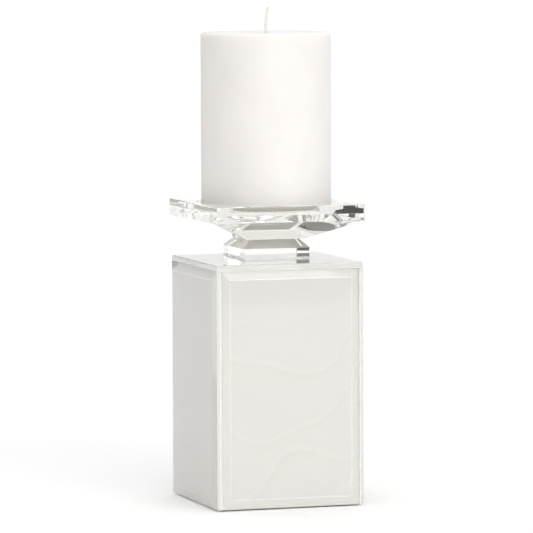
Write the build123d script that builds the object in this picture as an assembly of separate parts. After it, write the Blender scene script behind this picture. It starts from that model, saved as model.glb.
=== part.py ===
from build123d import *
import os

# Crystal-topped pillar-candle holder: a glass-clad wooden column with a crystal foot, a dish and a candle.
#
# Millimetres. X is the width, Y the depth, with the front face towards -Y, and Z is up.
# The origin is the middle of the felt's underside, where the holder stands on a table.

# ---------------------------------------------------------------- driving dimensions
COLUMN_WIDTH = 91.4        # across opposite glass panels, outer face to outer face
PANEL_HEIGHT = 138.0       # height of each of the four upright glass panels
PANEL_THICKNESS = 3.2
BEVEL_WIDTH = 5.5          # how far each polished bevel reaches across the panel's face
BEVEL_DEPTH = 1.2          # how much thinner the bevel leaves the panel's edge
GLUE_LINE = 0.1            # seam between a front or back panel and the side panel that covers its edge
FILM_THICKNESS = 0.2       # marbled film on the back of each piece of glass
FILM_MARGIN = 0.3          # how far the top plate reaches past its film on each side

PLATE_WIDTH = 88.6         # square glass plate on top of the column
PLATE_THICKNESS = 3.0
PLATE_ARRIS = 0.7          # chamfer round the plate's upper edge

BOARD_THICKNESS = 9.0      # boards of the hidden box that the glass is glued to

FELT_THICKNESS = 1.0
FELT_WIDTH = 74.0
FELT_CORNER = 4.0

FOOT_WIDTH = 40.2          # crystal foot: square block with its top bevelled in
FOOT_BLOCK_HEIGHT = 7.2
FOOT_HEIGHT = 12.1
FOOT_TOP_WIDTH = 30.2
FOOT_ARRIS = 0.35
BOND_THICKNESS = 0.1       # clear adhesive film above and below the foot
BOND_MARGIN = 0.5          # how far the foot reaches past each adhesive film on each side

DISH_WIDTH = 91.4          # crystal dish: square rim over an upside-down pyramid
DISH_BOTTOM_WIDTH = 35.0
DISH_SLOPE_HEIGHT = 11.7
DISH_RIM_HEIGHT = 9.5
DISH_CORNER = 1.2          # flat polished across each upright corner of the rim
DISH_ARRIS = 0.5
SEAT_DIAMETER = 82.0       # round recess that the candle stands in
SEAT_DEPTH = 4.0
SEAT_ARRIS = 0.3

CANDLE_DIAMETER = 76.2     # 3 in by 4 in pillar candle
CANDLE_HEIGHT = 102.6
CANDLE_TOP_RADIUS = 1.2
CANDLE_FOOT_CHAMFER = 0.6
CANDLE_GAP = 0.15          # air left under the candle, so that it lifts out freely
WICK_DIAMETER = 2.4
WICK_HOLE_DIAMETER = 2.5
WICK_EXPOSED = 15.0

# ---------------------------------------------------------------- levels up the Z axis
COLUMN_Z = FELT_THICKNESS
COLUMN_TOP = COLUMN_Z + PANEL_HEIGHT
PLATE_Z = COLUMN_TOP + FILM_THICKNESS
PLATE_TOP = PLATE_Z + PLATE_THICKNESS
FOOT_Z = PLATE_TOP + BOND_THICKNESS
FOOT_TOP = FOOT_Z + FOOT_HEIGHT
DISH_Z = FOOT_TOP + BOND_THICKNESS
RIM_Z = DISH_Z + DISH_SLOPE_HEIGHT
DISH_TOP = RIM_Z + DISH_RIM_HEIGHT
CANDLE_Z = DISH_TOP - SEAT_DEPTH + CANDLE_GAP

# ---------------------------------------------------------------- widths of the layers
CORE_WIDTH = COLUMN_WIDTH - 2 * (PANEL_THICKNESS + FILM_THICKNESS)
SIDE_PANEL_WIDTH = COLUMN_WIDTH - 2 * BEVEL_DEPTH
FRONT_PANEL_WIDTH = CORE_WIDTH - 2 * GLUE_LINE
SIDES = {
    "front": (0, FRONT_PANEL_WIDTH),
    "right": (90, SIDE_PANEL_WIDTH),
    "back": (180, FRONT_PANEL_WIDTH),
    "left": (270, SIDE_PANEL_WIDTH),
}


def square_prism(width, low, high):
    """Upright square prism centred on Z, from level low to level high."""
    return Pos(0, 0, (low + high) / 2) * Box(width, width, high - low)


def square_frustum(low_width, low, high_width, high):
    """Square frustum centred on Z, with flat sloping sides."""
    bottom = Pos(0, 0, low) * Rectangle(low_width, low_width)
    top = Pos(0, 0, high) * Rectangle(high_width, high_width)
    return loft([bottom, top], ruled=True)


def panel_section(depth, width, height):
    """Rectangle upright in the front panel, at a depth behind its outer face."""
    middle = COLUMN_Z + PANEL_HEIGHT / 2
    upright = Plane(origin=(0, depth - COLUMN_WIDTH / 2, middle), x_dir=(1, 0, 0), z_dir=(0, -1, 0))
    return upright * Rectangle(width, height)


def glass_panel(width):
    """Glass panel on the front of the column: flat face with a wide bevel along all four edges."""
    face = panel_section(0, width - 2 * BEVEL_WIDTH, PANEL_HEIGHT - 2 * BEVEL_WIDTH)
    edge = panel_section(BEVEL_DEPTH, width, PANEL_HEIGHT)
    back = panel_section(PANEL_THICKNESS, width, PANEL_HEIGHT)
    return loft([face, edge], ruled=True) + loft([edge, back], ruled=True)


def panel_film(width):
    """Marbled film on the back of the front panel, pressed flat against the core."""
    y = -(CORE_WIDTH + FILM_THICKNESS) / 2
    return Pos(0, y, COLUMN_Z + PANEL_HEIGHT / 2) * Box(width, FILM_THICKNESS, PANEL_HEIGHT)


def wide_board():
    """Front board of the core, which covers the ends of the two side boards."""
    y = (BOARD_THICKNESS - CORE_WIDTH) / 2
    return Pos(0, y, COLUMN_Z + PANEL_HEIGHT / 2) * Box(CORE_WIDTH, BOARD_THICKNESS, PANEL_HEIGHT)


def side_board():
    """Right board of the core, between the front and back boards."""
    x = (CORE_WIDTH - BOARD_THICKNESS) / 2
    depth = CORE_WIDTH - 2 * BOARD_THICKNESS
    return Pos(x, 0, COLUMN_Z + PANEL_HEIGHT / 2) * Box(BOARD_THICKNESS, depth, PANEL_HEIGHT)


def cap_board(low):
    """Square board inside the four walls, with its underside at level low."""
    return square_prism(CORE_WIDTH - 2 * BOARD_THICKNESS, low, low + BOARD_THICKNESS)


def top_film():
    """Marbled film on the underside of the top plate."""
    return square_prism(PLATE_WIDTH - 2 * FILM_MARGIN, COLUMN_TOP, PLATE_Z)


def top_plate():
    """Square glass plate over the column, with a small chamfer round its upper edge."""
    plate = square_prism(PLATE_WIDTH, PLATE_Z, PLATE_TOP)
    upper_edges = plate.faces().sort_by(Axis.Z)[-1].edges()
    return chamfer(upper_edges, PLATE_ARRIS)


def felt_pad():
    """Felt on the underside, which keeps the glass edges off the table."""
    return extrude(RectangleRounded(FELT_WIDTH, FELT_WIDTH, FELT_CORNER), amount=FELT_THICKNESS)


def bond_film(width, low):
    """Square of clear adhesive, with its underside at level low."""
    return square_prism(width, low, low + BOND_THICKNESS)


def crystal_foot():
    """Solid crystal foot: square block whose top slopes in to a smaller square."""
    shoulder = FOOT_Z + FOOT_BLOCK_HEIGHT
    block = square_prism(FOOT_WIDTH, FOOT_Z, shoulder)
    block = chamfer(block.edges().filter_by(Axis.Z), FOOT_ARRIS)
    cap = square_frustum(FOOT_WIDTH, shoulder, FOOT_TOP_WIDTH, FOOT_TOP)
    corners = extrude(chamfer(Rectangle(FOOT_WIDTH, FOOT_WIDTH).vertices(), FOOT_ARRIS), amount=FOOT_TOP)
    return block + (cap & corners)


def crystal_dish():
    """Solid crystal dish: square rim, pyramid underside, and a round seat for the candle."""
    underside = square_frustum(DISH_BOTTOM_WIDTH, DISH_Z, DISH_WIDTH, RIM_Z)
    rim = square_prism(DISH_WIDTH, RIM_Z, DISH_TOP)
    corners = extrude(chamfer(Rectangle(DISH_WIDTH, DISH_WIDTH).vertices(), DISH_CORNER), amount=DISH_TOP)
    dish = (underside + rim) & corners
    dish = chamfer(dish.faces().sort_by(Axis.Z)[-1].edges(), DISH_ARRIS)
    seat_floor = DISH_TOP - SEAT_DEPTH
    seat = Pos(0, 0, seat_floor + SEAT_DEPTH / 2) * Cylinder(SEAT_DIAMETER / 2, SEAT_DEPTH)
    dish = dish - seat
    seat_rim = dish.edges().filter_by(GeomType.CIRCLE).sort_by(Axis.Z)[-1]
    return chamfer(seat_rim, SEAT_ARRIS)


def candle_wax():
    """Cylindrical pillar candle with a softened top edge and a hole for its wick."""
    wax = Pos(0, 0, CANDLE_Z + CANDLE_HEIGHT / 2) * Cylinder(CANDLE_DIAMETER / 2, CANDLE_HEIGHT)
    wax = fillet(wax.edges().sort_by(Axis.Z)[-1], CANDLE_TOP_RADIUS)
    wax = chamfer(wax.edges().sort_by(Axis.Z)[0], CANDLE_FOOT_CHAMFER)
    hole = Pos(0, 0, CANDLE_Z + CANDLE_HEIGHT / 2) * Cylinder(WICK_HOLE_DIAMETER / 2, CANDLE_HEIGHT)
    return wax - hole


def candle_wick():
    """Cotton wick, through the whole candle and a little way out of its top."""
    length = CANDLE_HEIGHT + WICK_EXPOSED
    return Pos(0, 0, CANDLE_Z + length / 2) * Cylinder(WICK_DIAMETER / 2, length)


def build_nodes():
    """Every separate piece, by its node name."""
    nodes = {
        "core_front_board": wide_board(),
        "core_back_board": Rot(0, 0, 180) * wide_board(),
        "core_right_board": side_board(),
        "core_left_board": Rot(0, 0, 180) * side_board(),
        "core_bottom_board": cap_board(COLUMN_Z),
        "core_top_board": cap_board(COLUMN_TOP - BOARD_THICKNESS),
        "glass_top_plate": top_plate(),
        "marble_film_top": top_film(),
        "base_felt": felt_pad(),
        "foot_bond_film": bond_film(FOOT_WIDTH - 2 * BOND_MARGIN, PLATE_TOP),
        "crystal_foot": crystal_foot(),
        "dish_bond_film": bond_film(FOOT_TOP_WIDTH - 2 * BOND_MARGIN, FOOT_TOP),
        "crystal_dish": crystal_dish(),
        "candle_wax": candle_wax(),
        "candle_wick": candle_wick(),
    }
    for side, (angle, width) in SIDES.items():
        nodes["glass_panel_" + side] = Rot(0, 0, angle) * glass_panel(width)
        nodes["marble_film_" + side] = Rot(0, 0, angle) * panel_film(width)
    return nodes


os.makedirs("parts", exist_ok=True)
for name, shape in build_nodes().items():
    export_step(shape, "parts/" + name + ".step")
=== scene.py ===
import math

import bmesh
import bpy
from mathutils import Matrix, Vector, noise


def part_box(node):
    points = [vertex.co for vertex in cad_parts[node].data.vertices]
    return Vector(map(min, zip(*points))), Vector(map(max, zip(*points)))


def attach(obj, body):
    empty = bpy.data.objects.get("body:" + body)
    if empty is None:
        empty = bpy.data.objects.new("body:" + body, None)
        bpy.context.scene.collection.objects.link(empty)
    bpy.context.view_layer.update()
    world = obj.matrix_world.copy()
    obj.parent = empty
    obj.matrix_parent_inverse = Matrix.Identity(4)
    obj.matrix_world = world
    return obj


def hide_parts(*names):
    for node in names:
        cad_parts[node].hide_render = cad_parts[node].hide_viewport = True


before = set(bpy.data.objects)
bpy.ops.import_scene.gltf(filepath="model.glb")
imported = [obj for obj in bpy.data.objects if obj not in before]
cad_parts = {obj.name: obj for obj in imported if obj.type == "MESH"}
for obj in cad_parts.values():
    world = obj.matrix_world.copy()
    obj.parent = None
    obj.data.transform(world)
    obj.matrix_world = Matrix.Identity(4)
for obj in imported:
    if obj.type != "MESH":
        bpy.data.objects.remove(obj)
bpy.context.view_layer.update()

# Looks of the pillar-candle holder: marbled glass column, crystal foot and dish, wax candle.
# Everything is in metres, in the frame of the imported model: X width, Y depth, Z up, front towards -Y.

MM = 0.001

# ------------------------------------------------------------------ camera
CAMERA_LENS = 301.0            # mm, on Blender's 36 mm sensor
CAMERA_DISTANCE = 2.607
CAMERA_AZIMUTH = math.radians(-17.93)
CAMERA_ELEVATION = math.radians(4.58)
CAMERA_ROLL = math.radians(-0.21)
CAMERA_AIM_HEIGHT = 137.3 * MM  # of the point on the object's axis that it looks at


def make_camera():
    """Long-lens camera at the studio view's angle."""
    azimuth, elevation = CAMERA_AZIMUTH, CAMERA_ELEVATION
    back = Vector((
        math.sin(azimuth) * math.cos(elevation),
        -math.cos(azimuth) * math.cos(elevation),
        math.sin(elevation),
    ))
    level = Vector((math.cos(azimuth), math.sin(azimuth), 0))
    up = back.cross(level)
    right = math.cos(CAMERA_ROLL) * level + math.sin(CAMERA_ROLL) * up
    up = back.cross(right)
    aim = Vector((0, 0, CAMERA_AIM_HEIGHT))
    data = bpy.data.cameras.new("camera")
    data.lens = CAMERA_LENS
    data.clip_end = 20
    camera = bpy.data.objects.new("camera", data)
    bpy.context.scene.collection.objects.link(camera)
    axes = Matrix((right, up, back)).transposed().to_4x4()
    camera.matrix_world = Matrix.Translation(aim + back * CAMERA_DISTANCE) @ axes
    bpy.context.scene.camera = camera


# ------------------------------------------------------------------ node helpers
class Nodes:
    """Short names for building one node tree."""

    def __init__(self, material):
        material.use_nodes = True
        self.tree = material.node_tree
        self.tree.nodes.clear()

    def add(self, kind, **settings):
        node = self.tree.nodes.new(kind)
        for key, value in settings.items():
            setattr(node, key, value)
        return node

    def feed(self, socket, value):
        """Links a socket to another, or sets it to a plain value."""
        if isinstance(value, bpy.types.NodeSocket):
            self.tree.links.new(value, socket)
        else:
            socket.default_value = value

    def math(self, operation, first, second=0.0, clamp=False):
        node = self.add("ShaderNodeMath", operation=operation, use_clamp=clamp)
        self.feed(node.inputs[0], first)
        self.feed(node.inputs[1], second)
        return node.outputs[0]

    def noise(self, place, scale, detail=3.0, roughness=0.5, distortion=0.0):
        node = self.add("ShaderNodeTexNoise")
        self.feed(node.inputs["Vector"], place)
        node.inputs["Scale"].default_value = scale
        node.inputs["Detail"].default_value = detail
        node.inputs["Roughness"].default_value = roughness
        node.inputs["Distortion"].default_value = distortion
        return node.outputs["Fac"]

    def ramp(self, value, *stops):
        """Colour ramp, with stops of (place, colour)."""
        node = self.add("ShaderNodeValToRGB")
        elements = node.color_ramp.elements
        while len(elements) < len(stops):
            elements.new(0.5)
        for element, (place, colour) in zip(elements, stops):
            element.position = place
            element.color = (*colour, 1.0)
        self.feed(node.inputs["Fac"], value)
        return node.outputs["Color"]

    def spread(self, value, low, high, to_low, to_high):
        """Maps a range of values to another, smoothly and clamped."""
        node = self.add("ShaderNodeMapRange", interpolation_type="SMOOTHSTEP")
        self.feed(node.inputs["Value"], value)
        for name, number in (("From Min", low), ("From Max", high), ("To Min", to_low), ("To Max", to_high)):
            node.inputs[name].default_value = number
        return node.outputs["Result"]

    def mix(self, share, first, second):
        node = self.add("ShaderNodeMix", data_type="RGBA")
        self.feed(node.inputs["Factor"], share)
        for name, colour in (("A", first), ("B", second)):
            socket = [s for s in node.inputs if s.name == name and s.type == "RGBA"][0]
            self.feed(socket, colour if isinstance(colour, bpy.types.NodeSocket) else (*colour, 1.0))
        return [s for s in node.outputs if s.type == "RGBA"][0]

    def place(self, scale=(1, 1, 1)):
        """The point on the object, in metres, stretched by scale."""
        coordinates = self.add("ShaderNodeTexCoord").outputs["Object"]
        mapping = self.add("ShaderNodeMapping")
        self.feed(mapping.inputs["Vector"], coordinates)
        mapping.inputs["Scale"].default_value = scale
        return mapping.outputs["Vector"]

    def bump(self, height, strength, distance):
        node = self.add("ShaderNodeBump")
        self.feed(node.inputs["Height"], height)
        node.inputs["Strength"].default_value = strength
        node.inputs["Distance"].default_value = distance
        return node.outputs["Normal"]

    def surface(self, **sockets):
        """Principled shader with these sockets, wired to the output. Underscores stand for spaces."""
        shader = self.add("ShaderNodeBsdfPrincipled")
        for name, value in sockets.items():
            self.feed(shader.inputs[name.replace("_", " ")], value)
        output = self.add("ShaderNodeOutputMaterial")
        self.tree.links.new(shader.outputs[0], output.inputs["Surface"])
        return shader


# ------------------------------------------------------------------ materials
RIDGE_INSET = 5.5 * MM         # how far a panel's bevel reaches in from its edge
EDGE_PAINTED_LIGHT_MILK = 0.36               # painted light: how milky white the outer edges of the glass are made
RIDGE_PAINTED_HIGHLIGHT = 0.10              # painted highlight: how milky the hairline along each bevel's ridge is


def glass_material(name, tint_and_painted_shade, ior, smudge, milk=None):
    """Polished clear glass: faint tint changes, wipe marks in its roughness and a barely wavy surface.

    With milk, a function that gives how milky the glass is at a place, the glass turns milky there: painted
    light on the edges of the panels and the plate, and a painted highlight along the panels' ridges.
    """
    material = bpy.data.materials.new(name)
    n = Nodes(material)
    place = n.place()
    cloud = n.noise(place, 22.0)
    colour = n.ramp(cloud, (0.3, tint_and_painted_shade), (0.7, tuple(min(1.0, c + 0.008) for c in tint_and_painted_shade)))
    wipe = n.noise(n.place((60, 60, 14)), 2.0, detail=5.0)
    roughness = n.spread(wipe, 0.5, 0.85, 0.0, smudge)
    wave = n.bump(n.noise(place, 45.0, detail=1.0), 0.02, 0.4 * MM)
    clear = 1.0
    # Milky where the milk function says so: painted light on the edges and a painted highlight on the ridges
    if milk:
        painted_light_milkiness = milk(n, place)
        roughness = n.math("MAXIMUM", roughness, n.math("MULTIPLY", painted_light_milkiness, 0.5))
        clear = n.math("SUBTRACT", 1.0, painted_light_milkiness)
    shader = n.surface(
        Base_Color=colour, Roughness=roughness, IOR=ior, Normal=wave, Transmission_Weight=clear,
    )
    # Tools that read only the socket's own value, and not its link, still see glass
    shader.inputs["Transmission Weight"].default_value = 1.0
    return material


def panel_milk(side):
    """Painted light on a side panel: milky outer edges, and a painted highlight as a milky hairline along
    its bevel ridges.
    """
    low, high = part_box("glass_panel_" + side)
    half = (high.x - low.x) / 2 if side in ("front", "back") else (high.y - low.y) / 2

    def milk(n, place):
        parts = n.add("ShaderNodeSeparateXYZ")
        n.feed(parts.inputs[0], place)
        across = parts.outputs[0 if side in ("front", "back") else 1]
        edge = n.math("SUBTRACT", half, n.math("ABSOLUTE", across))
        edge = n.math("MINIMUM", edge, n.math("SUBTRACT", parts.outputs[2], low.z))
        edge = n.math("MINIMUM", edge, n.math("SUBTRACT", high.z, parts.outputs[2]))
        off_ridge = n.math("ABSOLUTE", n.math("SUBTRACT", edge, RIDGE_INSET))
        # Painted highlight: a milky hairline along each bevel ridge
        painted_ridge_highlight = n.spread(off_ridge, 0.2 * MM, 0.6 * MM, RIDGE_PAINTED_HIGHLIGHT, 0.0)
        # Painted light: milky white outer edges
        rim = n.spread(edge, 0.15 * MM, 0.45 * MM, EDGE_PAINTED_LIGHT_MILK, 0.0)
        return n.math("MAXIMUM", painted_ridge_highlight, rim)

    return milk


def plate_milk(n, place):
    """Painted light on the top plate: milky outer edges."""
    parts = n.add("ShaderNodeSeparateXYZ")
    n.feed(parts.inputs[0], place)
    reach = n.math("MAXIMUM", n.math("ABSOLUTE", parts.outputs[0]), n.math("ABSOLUTE", parts.outputs[1]))
    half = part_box("glass_top_plate")[1].x
    # Painted light: milky white outer edges of the plate
    return n.spread(reach, half - 0.8 * MM, half - 0.5 * MM, 0.0, EDGE_PAINTED_LIGHT_MILK)


# Each vein: points along it (mm, across from the side's middle and up from its foot), then its strength
VEINS = (
    (((-45, 2), (-20, 12), (-4, 32), (8, 35), (31, 29), (45, 33)), 1.0),
    (((-45, 57), (-24, 40), (2, 46), (27, 60), (35, 71), (45, 96)), 0.9),
    (((-45, 89), (-16, 86), (10, 80), (26, 85), (34, 100), (45, 109)), 0.9),
    (((-45, 103), (-22, 111), (-8, 107), (12, 113), (45, 121)), 0.45),
)
VEIN_SPAN = 90.0               # mm across and up that the vein points fit in
VEIN_RISE = 140.0
# How each side's marbling differs from the front's: direction across, shift up (mm), strength
MARBLING = {
    "front": (1, 0.0, 1.0),
    "right": (-1, 9.0, 0.9),
    "back": (-1, -8.0, 1.0),
    "left": (-1, 6.0, 0.4),
    "top": (1, 40.0, 0.5),
}


CREST_WIDTH = 2.8              # mm above and below a vein's crest that its light fades out over
SHADE_DEPTH = 9.0              # mm below it that its shade fades out over
CREST_LIGHT = 0.9
CREST_SHADE = 0.6
VEIN_WOBBLE = 5.0              # mm that a vein strays up and down
CLOUD_STRENGTH = 1.1


def crest_height(n, across, points):
    """Height of a vein's crest, as a smooth curve through its points."""
    node = n.add("ShaderNodeFloatCurve")
    curve = node.mapping.curves[0]
    while len(curve.points) < len(points):
        curve.points.new(0.5, 0.5)
    for knot, (along, height) in zip(curve.points, points):
        knot.location = (along / VEIN_SPAN + 0.5, height / VEIN_RISE)
    node.mapping.update()
    share = n.math("ADD", n.math("DIVIDE", across, VEIN_SPAN), 0.5)
    n.feed(node.inputs["Value"], share)
    return n.math("MULTIPLY", node.outputs["Value"], VEIN_RISE)


def vein(n, across, height, wobble, points, strength):
    """Brightness of one vein: a thin light crest with a soft shade fading out below it."""
    above = n.math("SUBTRACT", height, n.math("ADD", crest_height(n, across, points), wobble))
    light = n.spread(n.math("ABSOLUTE", above), 0.2, CREST_WIDTH, CREST_LIGHT, 0.0)
    fading = n.spread(above, -SHADE_DEPTH, -1.5, 0.0, CREST_SHADE)
    shade = n.math("MULTIPLY", fading, n.spread(above, -1.8, -0.6, 1.0, 0.0))
    return n.math("MULTIPLY", n.math("SUBTRACT", light, shade), strength)


def film_material(side):
    """White film with the marbling of one side: flowing veins over a faint cloud of warm and cool white."""
    direction, shift_up, strength = MARBLING[side]
    material = bpy.data.materials.new("marbled_film_" + side)
    n = Nodes(material)
    place = n.place()
    parts = n.add("ShaderNodeSeparateXYZ")
    n.feed(parts.inputs[0], place)
    x, y, z = parts.outputs
    across, up = {"front": (x, z), "back": (x, z), "left": (y, z), "right": (y, z), "top": (x, y)}[side]
    across = n.math("MULTIPLY", across, direction / MM)
    up = n.math("ADD", n.math("MULTIPLY", up, 1 / MM), shift_up)
    stray = n.math("SUBTRACT", n.noise(place, 40.0, detail=3.0), 0.5)
    wobble = n.math("MULTIPLY", stray, VEIN_WOBBLE)
    total = None
    for points, weight in VEINS:
        one = vein(n, across, up, wobble, points, weight)
        total = one if total is None else n.math("ADD", total, one)
    cloud = n.noise(place, 14.0, detail=4.0, distortion=0.6)
    total = n.math("MULTIPLY", total, strength)
    total = n.math("ADD", total, n.math("MULTIPLY", n.math("SUBTRACT", cloud, 0.5), CLOUD_STRENGTH))
    level = n.math("ADD", n.math("MULTIPLY", total, 0.5), 0.5, clamp=True)
    colour = n.ramp(
        level,
        (0.0, (0.945, 0.925, 0.878)),
        (0.45, (0.968, 0.955, 0.918)),
        (0.6, (0.974, 0.963, 0.930)),
        (1.0, (0.996, 0.993, 0.980)),
    )
    grain = n.noise(place, 2500.0, detail=2.0)
    n.surface(
        Base_Color=colour, Roughness=n.spread(grain, 0.3, 0.7, 0.35, 0.5),
        Normal=n.bump(grain, 0.05, 0.05 * MM),
    )
    return material


def board_material():
    """Fibreboard: warm brown with fine fibres, a little lighter and rougher in places."""
    material = bpy.data.materials.new("fibreboard")
    n = Nodes(material)
    fibres = n.noise(n.place((1, 1, 6)), 420.0, detail=6.0, roughness=0.7)
    blotch = n.noise(n.place(), 35.0)
    colour = n.ramp(
        fibres,
        (0.25, (0.30, 0.19, 0.10)),
        (0.55, (0.47, 0.33, 0.20)),
        (0.8, (0.62, 0.47, 0.31)),
    )
    colour = n.mix(n.spread(blotch, 0.4, 0.7, 0.0, 0.25), colour, (0.66, 0.52, 0.36))
    n.surface(
        Base_Color=colour, Roughness=n.spread(fibres, 0.2, 0.8, 0.7, 0.9),
        Normal=n.bump(fibres, 0.4, 0.15 * MM),
    )
    return material


def felt_material():
    """Natural off-white felt: tangled fibres with a few darker ones."""
    material = bpy.data.materials.new("felt")
    n = Nodes(material)
    tangle = n.noise(n.place(), 900.0, detail=8.0, roughness=0.75, distortion=1.5)
    colour = n.ramp(
        tangle,
        (0.25, (0.42, 0.38, 0.32)),
        (0.45, (0.72, 0.70, 0.65)),
        (0.75, (0.86, 0.85, 0.81)),
    )
    n.surface(
        Base_Color=colour, Roughness=0.95, Sheen_Weight=0.3, Sheen_Roughness=0.6,
        Normal=n.bump(tangle, 0.8, 0.4 * MM),
    )
    return material


WAX_PAINTED_GLOW = 0.8                 # painted glow: the candle's underside gives off light, standing in for light soaked down through the wax


def wax_material():
    """White paraffin: light passes a little way in, with a faint bloom, handling marks and a painted glow on
    its underside.
    """
    material = bpy.data.materials.new("wax")
    n = Nodes(material)
    place = n.place()
    bloom = n.noise(place, 60.0, detail=5.0)
    colour = n.ramp(bloom, (0.3, (0.745, 0.722, 0.698)), (0.7, (0.765, 0.746, 0.726)))
    marks = n.noise(n.place((1, 1, 0.25)), 260.0, detail=3.0)
    roughness = n.spread(marks, 0.3, 0.75, 0.38, 0.55)
    fine = n.noise(place, 900.0, detail=3.0)
    height = n.math("ADD", fine, n.math("MULTIPLY", n.noise(place, 90.0, detail=2.0), 2.0))
    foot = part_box("candle_wax")[0].z
    parts = n.add("ShaderNodeSeparateXYZ")
    n.feed(parts.inputs[0], place)
    # Painted glow: emission on the bottom 0.3 mm of the candle, standing in for light scattered down through
    # the wax
    painted_underside_glow = n.spread(parts.outputs[2], foot, foot + 0.3 * MM, WAX_PAINTED_GLOW, 0.0)
    n.surface(
        Emission_Color=(1.0, 0.97, 0.92, 1.0), Emission_Strength=painted_underside_glow,
        Base_Color=colour, Roughness=roughness, IOR=1.44, Specular_IOR_Level=0.2,
        Subsurface_Weight=1.0, Subsurface_Radius=(1.0, 0.85, 0.7), Subsurface_Scale=5 * MM,
        Normal=n.bump(height, 0.08, 0.15 * MM),
    )
    return material


def wick_material():
    """Waxed cotton: cream, with fine thread lines."""
    material = bpy.data.materials.new("waxed_cotton")
    n = Nodes(material)
    threads = n.noise(n.place((1, 1, 0.2)), 3500.0, detail=4.0)
    colour = n.ramp(threads, (0.3, (0.74, 0.69, 0.58)), (0.65, (0.90, 0.87, 0.79)))
    n.surface(
        Base_Color=colour, Roughness=n.spread(threads, 0.2, 0.8, 0.5, 0.75), Subsurface_Weight=0.3,
        Subsurface_Radius=(1.0, 0.8, 0.6), Subsurface_Scale=1 * MM, Normal=n.bump(threads, 0.5, 0.1 * MM),
    )
    return material


# ------------------------------------------------------------------ meshes
SAME_POINT = 0.0005 * MM       # points nearer than this are merged
SAME_LEVEL = 0.01 * MM         # and levels nearer than this count as one
SAME_PLANE = math.radians(0.5)  # faces that turn less than this are joined
CONTACT = 0.05 * MM            # how far glass is pressed into the film behind it


def new_object(name, mesh, material):
    piece = bpy.data.objects.new(name, mesh)
    bpy.context.scene.collection.objects.link(piece)
    mesh.materials.clear()
    mesh.materials.append(material)
    return piece


def eased_copy(node, name, material, width, angle=math.radians(8), inward=None):
    """Copy of a CAD node's shape with its sharp edges eased by a small polished round.

    With inward, the face on that side is pressed a little way into the film behind it, leaving no air.
    """
    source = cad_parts[node]
    work = bmesh.new()
    work.from_mesh(source.data)
    bmesh.ops.transform(work, matrix=source.matrix_world, verts=work.verts)
    bmesh.ops.remove_doubles(work, verts=work.verts, dist=SAME_POINT)
    bmesh.ops.dissolve_limit(work, angle_limit=SAME_PLANE, verts=work.verts, edges=work.edges)
    if inward:
        deepest = max(inward.dot(vertex.co) for vertex in work.verts)
        for vertex in work.verts:
            if inward.dot(vertex.co) > deepest - SAME_LEVEL:
                vertex.co += inward * CONTACT
    mesh = bpy.data.meshes.new(name)
    work.to_mesh(mesh)
    work.free()
    piece = new_object(name, mesh, material)
    ease = piece.modifiers.new("ease", "BEVEL")
    ease.width = width
    ease.segments = 3
    ease.limit_method = "ANGLE"
    ease.angle_limit = angle
    ease.harden_normals = False
    apply_modifiers(piece)
    piece.data.polygons.foreach_set("use_smooth", [True] * len(piece.data.polygons))
    piece.data.set_sharp_from_angle(angle=math.radians(6))
    return piece


def apply_modifiers(piece):
    graph = bpy.context.evaluated_depsgraph_get()
    mesh = bpy.data.meshes.new_from_object(piece.evaluated_get(graph))
    piece.modifiers.clear()
    old = piece.data
    piece.data = mesh
    mesh.name = old.name


def ring_mesh(name, profile, segments, shape=None):
    """Solid of revolution about Z from a closed profile of (radius, height), lowest point first."""
    work = bmesh.new()
    rings = []
    for radius, height in profile:
        ring = []
        for i in range(segments):
            angle = math.tau * i / segments
            point = Vector((radius * math.cos(angle), radius * math.sin(angle), height))
            ring.append(work.verts.new(shape(point) if shape else point))
        rings.append(ring)
    for low, high in zip(rings, rings[1:] + rings[:1]):
        for i in range(segments):
            j = (i + 1) % segments
            work.faces.new((low[i], low[j], high[j], high[i]))
    bmesh.ops.recalc_face_normals(work, faces=work.faces)
    mesh = bpy.data.meshes.new(name)
    work.to_mesh(mesh)
    work.free()
    mesh.polygons.foreach_set("use_smooth", [True] * len(mesh.polygons))
    return mesh


# ------------------------------------------------------------------ candle and wick
WAX_ROUND = 1.6 * MM           # rounded top edge of the candle
WAX_CHAMFER = 0.6 * MM         # round its foot
WAX_DIP = 0.9 * MM             # how far the top sinks towards the wick
WAX_MOUND = 0.5 * MM           # wax drawn up round the wick
WAX_SIDE_WEAR = 0.18 * MM      # how far the side wanders inwards at most
WAX_TOP_WEAR = 0.25 * MM       # and the top downwards
CANDLE_SEGMENTS = 160
WICK_GAP = 0.05 * MM           # air between the wick and the wax
WICK_STRAND = 0.62 * MM        # radius of each of its strands
WICK_SWING = 0.5 * MM          # how far a strand swings from the wick's middle line
WICK_PITCH = 5.0 * MM          # length of one turn of the braid
WICK_LEAN = 0.9 * MM           # how far the free end leans
WICK_HOOK = 0.8 * MM           # and how far its tip hooks over
WICK_HOOK_START = 0.72         # share of the free end that is below the hook


def candle_profile(low, high, radius, hole):
    """Outline of the wax from the hole's foot, out, up the side and back over the top."""
    points = [(hole, low.z)]
    points.append((radius - WAX_CHAMFER, low.z))
    points.append((radius, low.z + WAX_CHAMFER))
    side_steps = 40
    for i in range(1, side_steps + 1):
        t = i / side_steps
        points.append((radius, low.z + WAX_CHAMFER + t * (high - WAX_ROUND - low.z - WAX_CHAMFER)))
    round_steps = 8
    for i in range(1, round_steps + 1):
        angle = math.pi / 2 * i / round_steps
        points.append((radius - WAX_ROUND * (1 - math.cos(angle)), high - WAX_ROUND * (1 - math.sin(angle))))
    top_steps = 24
    start = radius - WAX_ROUND
    for i in range(1, top_steps + 1):
        t = i / top_steps
        r = start + (hole - start) * t
        dip = WAX_DIP * (0.5 - 0.5 * math.cos(math.pi * min(1.0, t * 1.15)))
        mound = WAX_MOUND * math.exp(-((r - hole) / (1.6 * MM)) ** 2)
        points.append((r, high - dip + mound))
    return points


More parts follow.
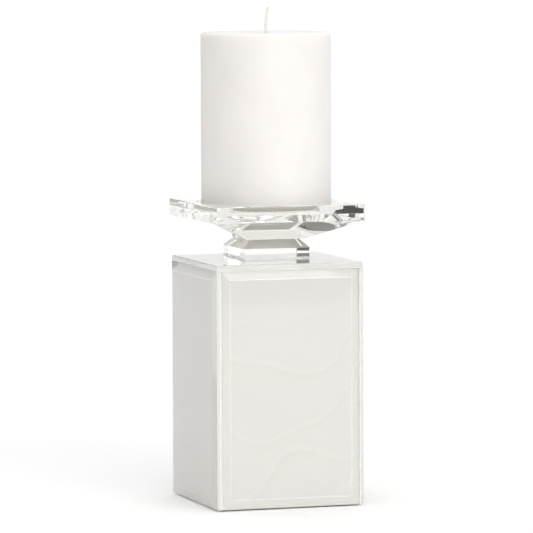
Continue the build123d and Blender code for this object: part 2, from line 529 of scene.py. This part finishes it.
def make_candle():
    low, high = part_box("candle_wax")
    radius = (high.x - low.x) / 2
    wick_low, wick_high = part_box("candle_wick")
    hole = (wick_high.x - wick_low.x) / 2 + WICK_GAP

    def worn(point):
        """Lets the side and top wander by up to a quarter of a millimetre, always into the candle."""
        flat = Vector((point.x, point.y, 0))
        if flat.length < 3 * MM:
            return point
        wander = noise.noise(point * 38.0) * 0.5 + 0.5
        point = point - flat.normalized() * wander * WAX_SIDE_WEAR
        if point.z > high.z - 2 * MM:
            point.z -= (noise.noise(point * 55.0 + Vector((7, 3, 1))) * 0.5 + 0.5) * WAX_TOP_WEAR
        return point

    mesh = ring_mesh("candle", candle_profile(low, high.z, radius, hole), CANDLE_SEGMENTS, worn)
    piece = new_object("candle", mesh, wax_material())
    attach(piece, "candle")
    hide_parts("candle_wax")


def make_wick():
    """Three-strand braid, straight inside the wax and gently bent above it, with a hooked tip."""
    low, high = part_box("candle_wick")
    wax_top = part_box("candle_wax")[1].z - WAX_DIP
    steps = 150
    start, end = low.z + 0.5 * MM, high.z - WICK_STRAND
    camera_right = Vector((math.cos(CAMERA_AZIMUTH), math.sin(CAMERA_AZIMUTH), 0))

    def centre(z):
        """The wick's middle line: a shallow lean, then a small hook near the tip."""
        free = max(0.0, (z - wax_top) / (end - wax_top))
        hooked = max(0.0, free - WICK_HOOK_START) / (1 - WICK_HOOK_START)
        lean = WICK_LEAN * free ** 1.5 + WICK_HOOK * hooked ** 2
        return camera_right * lean + Vector((0, 0, z))

    curve = bpy.data.curves.new("wick", "CURVE")
    curve.dimensions = "3D"
    curve.bevel_depth = WICK_STRAND
    curve.bevel_resolution = 3
    curve.use_fill_caps = True
    for strand in range(3):
        spline = curve.splines.new("POLY")
        spline.points.add(steps)
        for i, point in enumerate(spline.points):
            z = start + (end - start) * i / steps
            phase = math.tau * (z / WICK_PITCH + strand / 3)
            middle = centre(z)
            taper = 1.0 - 0.25 * max(0.0, (z - wax_top) / (end - wax_top))
            swing = Vector((math.sin(phase), 0.5 * math.sin(2 * phase), 0)) * WICK_SWING
            point.co = (*(middle + swing * taper), 1)
            point.radius = taper
    carrier = bpy.data.objects.new("wick_curve", curve)
    bpy.context.scene.collection.objects.link(carrier)
    graph = bpy.context.evaluated_depsgraph_get()
    mesh = bpy.data.meshes.new_from_object(carrier.evaluated_get(graph))
    bpy.data.objects.remove(carrier)
    mesh.polygons.foreach_set("use_smooth", [True] * len(mesh.polygons))
    piece = new_object("wick", mesh, wick_material())
    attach(piece, "candle")
    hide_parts("candle_wick")


# ------------------------------------------------------------------ glass, crystal and the rest
PANEL_EASE = 0.35 * MM         # round on the sharp edges of each kind of piece
PLATE_EASE = 0.15 * MM
CRYSTAL_EASE = 0.15 * MM
GLASS_IOR = 1.5
CRYSTAL_IOR = 1.51
GLASS_TINT = (0.984, 0.986, 0.976)
# Painted shade: the foot and the dish are tinted grey, standing in for the dark surroundings that clear
# crystal shows
FOOT_TINT_AND_PAINTED_SHADE = (0.920, 0.920, 0.900)  # painted shade: darker than clear crystal, for the greys in the photograph
DISH_TINT_AND_PAINTED_SHADE = (0.835, 0.832, 0.805)
ADHESIVE_TINT = (0.985, 0.985, 0.970)
GLASS_SMUDGE = 0.03            # roughness of the wipe marks
CRYSTAL_SMUDGE = 0.02
ADHESIVE_SMUDGE = 0.05
INWARD = {
    "front": Vector((0, 1, 0)),
    "right": Vector((-1, 0, 0)),
    "back": Vector((0, -1, 0)),
    "left": Vector((1, 0, 0)),
}


def open_window(piece, level, node):
    """Opens a flat face where adhesive wets it, because glass, adhesive and glass there act as one solid."""
    low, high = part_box(node)
    work = bmesh.new()
    work.from_mesh(piece.data)
    for corner, axis in ((low, 0), (high, 0), (low, 1), (high, 1)):
        normal = Vector((axis == 0, axis == 1, 0))
        near = [f for f in work.faces if abs(f.calc_center_median().z - level) < SAME_LEVEL]
        parts = near + list({e for f in near for e in f.edges}) + list({v for f in near for v in f.verts})
        bmesh.ops.bisect_plane(work, geom=parts, plane_co=corner, plane_no=normal)
    inside = [
        f for f in work.faces
        if abs(f.calc_center_median().z - level) < SAME_LEVEL
        and low.x < f.calc_center_median().x < high.x
        and low.y < f.calc_center_median().y < high.y
    ]
    bmesh.ops.delete(work, geom=inside, context="FACES")
    work.to_mesh(piece.data)
    work.free()


def bond_band(node, name, material):
    """Visible edge of an adhesive film: its four sides, open where it wets the glass above and below."""
    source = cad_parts[node]
    work = bmesh.new()
    work.from_mesh(source.data)
    bmesh.ops.dissolve_limit(work, angle_limit=SAME_PLANE, verts=work.verts, edges=work.edges)
    work.normal_update()
    flat = [f for f in work.faces if abs(f.normal.z) > 0.9]
    bmesh.ops.delete(work, geom=flat, context="FACES_ONLY")
    mesh = bpy.data.meshes.new(name)
    work.to_mesh(mesh)
    work.free()
    band = new_object(name, mesh, material)
    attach(band, "holder")
    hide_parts(node)


def make_glass():
    for side, inward in INWARD.items():
        clear = glass_material("panel_glass_" + side, GLASS_TINT, GLASS_IOR, GLASS_SMUDGE, panel_milk(side))
        panel = eased_copy("glass_panel_" + side, "bevelled_panel_" + side, clear, PANEL_EASE, inward=inward)
        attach(panel, "holder")
        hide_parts("glass_panel_" + side)
    clear = glass_material("plate_glass", GLASS_TINT, GLASS_IOR, GLASS_SMUDGE, plate_milk)
    plate = eased_copy("glass_top_plate", "top_plate", clear, PLATE_EASE, inward=Vector((0, 0, -1)))
    open_window(plate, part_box("foot_bond_film")[0].z, "foot_bond_film")
    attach(plate, "holder")
    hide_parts("glass_top_plate")


def make_crystal():
    for node, name, tint_and_painted_shade in (("crystal_foot", "foot", FOOT_TINT_AND_PAINTED_SHADE), ("crystal_dish", "dish", DISH_TINT_AND_PAINTED_SHADE)):
        crystal = glass_material("crystal_" + name, tint_and_painted_shade, CRYSTAL_IOR, CRYSTAL_SMUDGE)
        piece = eased_copy(node, name, crystal, CRYSTAL_EASE, math.radians(15))
        for bond in ("foot_bond_film", "dish_bond_film"):
            for level in (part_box(bond)[0].z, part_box(bond)[1].z):
                open_window(piece, level, bond)
        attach(piece, "holder")
        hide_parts(node)
    adhesive = glass_material("clear_adhesive", ADHESIVE_TINT, GLASS_IOR, ADHESIVE_SMUDGE)
    bond_band("foot_bond_film", "foot_bond", adhesive)
    bond_band("dish_bond_film", "dish_bond", adhesive)


def dress(node, material):
    """Gives a CAD node, whose shape is right, its finished material."""
    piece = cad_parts[node]
    if not piece.material_slots:
        piece.data.materials.append(material)
    for slot in piece.material_slots:
        slot.material = material


def dress_core():
    board = board_material()
    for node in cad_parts:
        if node.startswith("core_"):
            dress(node, board)
    for side in MARBLING:
        dress("marble_film_" + side, film_material(side))
    dress("base_felt", felt_material())


# ------------------------------------------------------------------ studio
def area_light(name, place, aim, size, power, colour):
    data = bpy.data.lights.new(name, "AREA")
    data.shape = "RECTANGLE"
    data.size, data.size_y = size
    data.energy = power
    data.color = colour
    lamp = bpy.data.objects.new(name, data)
    lamp.location = place
    lamp.rotation_mode = "QUATERNION"
    lamp.rotation_quaternion = (Vector(aim) - Vector(place)).to_track_quat("-Z", "Y")
    bpy.context.scene.collection.objects.link(lamp)


FLOOR_PALENESS = 0.965         # of the white sweep
ROOM_FLOOR_PALENESS = 0.25     # of the room's floor in front of it
SWEEP_END = -1.8               # where the sweep ends, towards the camera
SWEEP_FADE = 0.3


def make_floor():
    """White sweep under the object, with the room's grey floor beyond its front end."""
    bpy.ops.mesh.primitive_plane_add(size=200)
    floor = bpy.context.object
    floor.name = "floor"
    material = bpy.data.materials.new("pale_floor")
    n = Nodes(material)
    parts = n.add("ShaderNodeSeparateXYZ")
    n.feed(parts.inputs[0], n.place())
    paleness = n.spread(
        parts.outputs[1], SWEEP_END - SWEEP_FADE, SWEEP_END, ROOM_FLOOR_PALENESS, FLOOR_PALENESS,
    )
    n.surface(Base_Color=n.ramp(paleness, (0.0, (0, 0, 0)), (1.0, (1, 1, 1))), Roughness=0.9)
    floor.data.materials.append(material)


SOFTBOX = 1.78                 # brightness of the wide diffuser behind the camera
BACKDROP = 1.05                # of the white backdrop behind the object
SIDES = 0.13                   # of the dim room to the left and right
CEILING = 1.28                 # and of the overhead diffuser


def make_world():
    """Wide diffusers behind the camera and overhead, a white backdrop, and a dim room at the sides."""
    world = bpy.data.worlds.new("studio")
    bpy.context.scene.world = world
    n = Nodes(world)
    direction = n.add("ShaderNodeTexCoord").outputs["Generated"]
    parts = n.add("ShaderNodeSeparateXYZ")
    n.feed(parts.inputs[0], direction)
    # Each light's edges are given as the y or z of the direction towards it
    y, z = parts.outputs[1:]
    behind_camera = n.spread(y, -0.8, -0.35, SOFTBOX, SIDES)
    walls = n.math("ADD", behind_camera, n.spread(y, 0.3, 0.7, 0.0, BACKDROP - SIDES))
    overhead = n.spread(z, 0.5, 0.85, 0.0, 1.0)
    brightness = n.math("ADD", walls, n.math("MULTIPLY", overhead, n.math("SUBTRACT", CEILING, walls)))
    background = n.add("ShaderNodeBackground")
    background.inputs["Color"].default_value = (1.0, 1.0, 1.0, 1.0)
    n.feed(background.inputs["Strength"], brightness)
    output = n.add("ShaderNodeOutputWorld")
    n.tree.links.new(background.outputs[0], output.inputs[0])


# Cards behind the object, hidden from the camera. Azimuth is in degrees from the front, to the right
CARDS = {
    "card_back_left": {
        "azimuth": -161, "distance": 0.40, "shift": -0.035, "width": 0.08,
        "low": 0.115, "high": 0.30, "grey": 0.03, "glow": 0.0,
    },
    "reflector_left": {
        "azimuth": -138, "distance": 0.60, "shift": 0.0, "width": 0.08,
        "low": 0.02, "high": 0.12, "grey": 0.9, "glow": 0.8,
    },
}


def card(name, azimuth, distance, shift, width, low, high, grey, glow):
    """Upright card facing the object, which the crystal and the glass show but the camera doesn't see."""
    angle = math.radians(azimuth)
    out = Vector((math.sin(angle), -math.cos(angle), 0))
    side = Vector((math.cos(angle), math.sin(angle), 0))
    up = Vector((0, 0, 1))
    rows = [out * distance + up * (low + MM), out * distance + up * high]
    corners = [row + side * (shift + sign * width / 2) for row in rows for sign in (-1, 1)]
    mesh = bpy.data.meshes.new(name)
    mesh.from_pydata(corners, [], [(0, 1, 3, 2)])
    material = bpy.data.materials.new(name)
    n = Nodes(material)
    n.surface(
        Base_Color=(grey, grey, grey, 1.0), Roughness=0.9,
        Emission_Color=(1, 1, 1, 1), Emission_Strength=glow,
    )
    piece = new_object(name, mesh, material)
    piece.visible_camera = False


def make_studio():
    make_floor()
    make_world()
    for name, settings in CARDS.items():
        card(name, **settings)
    area_light(
        "key", place=(0.2, -2.5, 1.0), aim=(0, 0, 0.14),
        size=(1.6, 1.2), power=13, colour=(1.0, 0.997, 0.99),
    )
    view = bpy.context.scene.view_settings
    view.view_transform = "Standard"
    view.look = "None"
    view.exposure = 0.0
    # Light trapped in the crystal between the film and the faces takes many bounces to get out
    tracer = bpy.context.scene.cycles
    tracer.max_bounces = 80
    tracer.diffuse_bounces = 40
    tracer.glossy_bounces = 60
    tracer.transmission_bounces = 60


# ------------------------------------------------------------------ the whole scene
make_camera()
make_studio()
dress_core()
make_glass()
make_crystal()
make_candle()
make_wick()
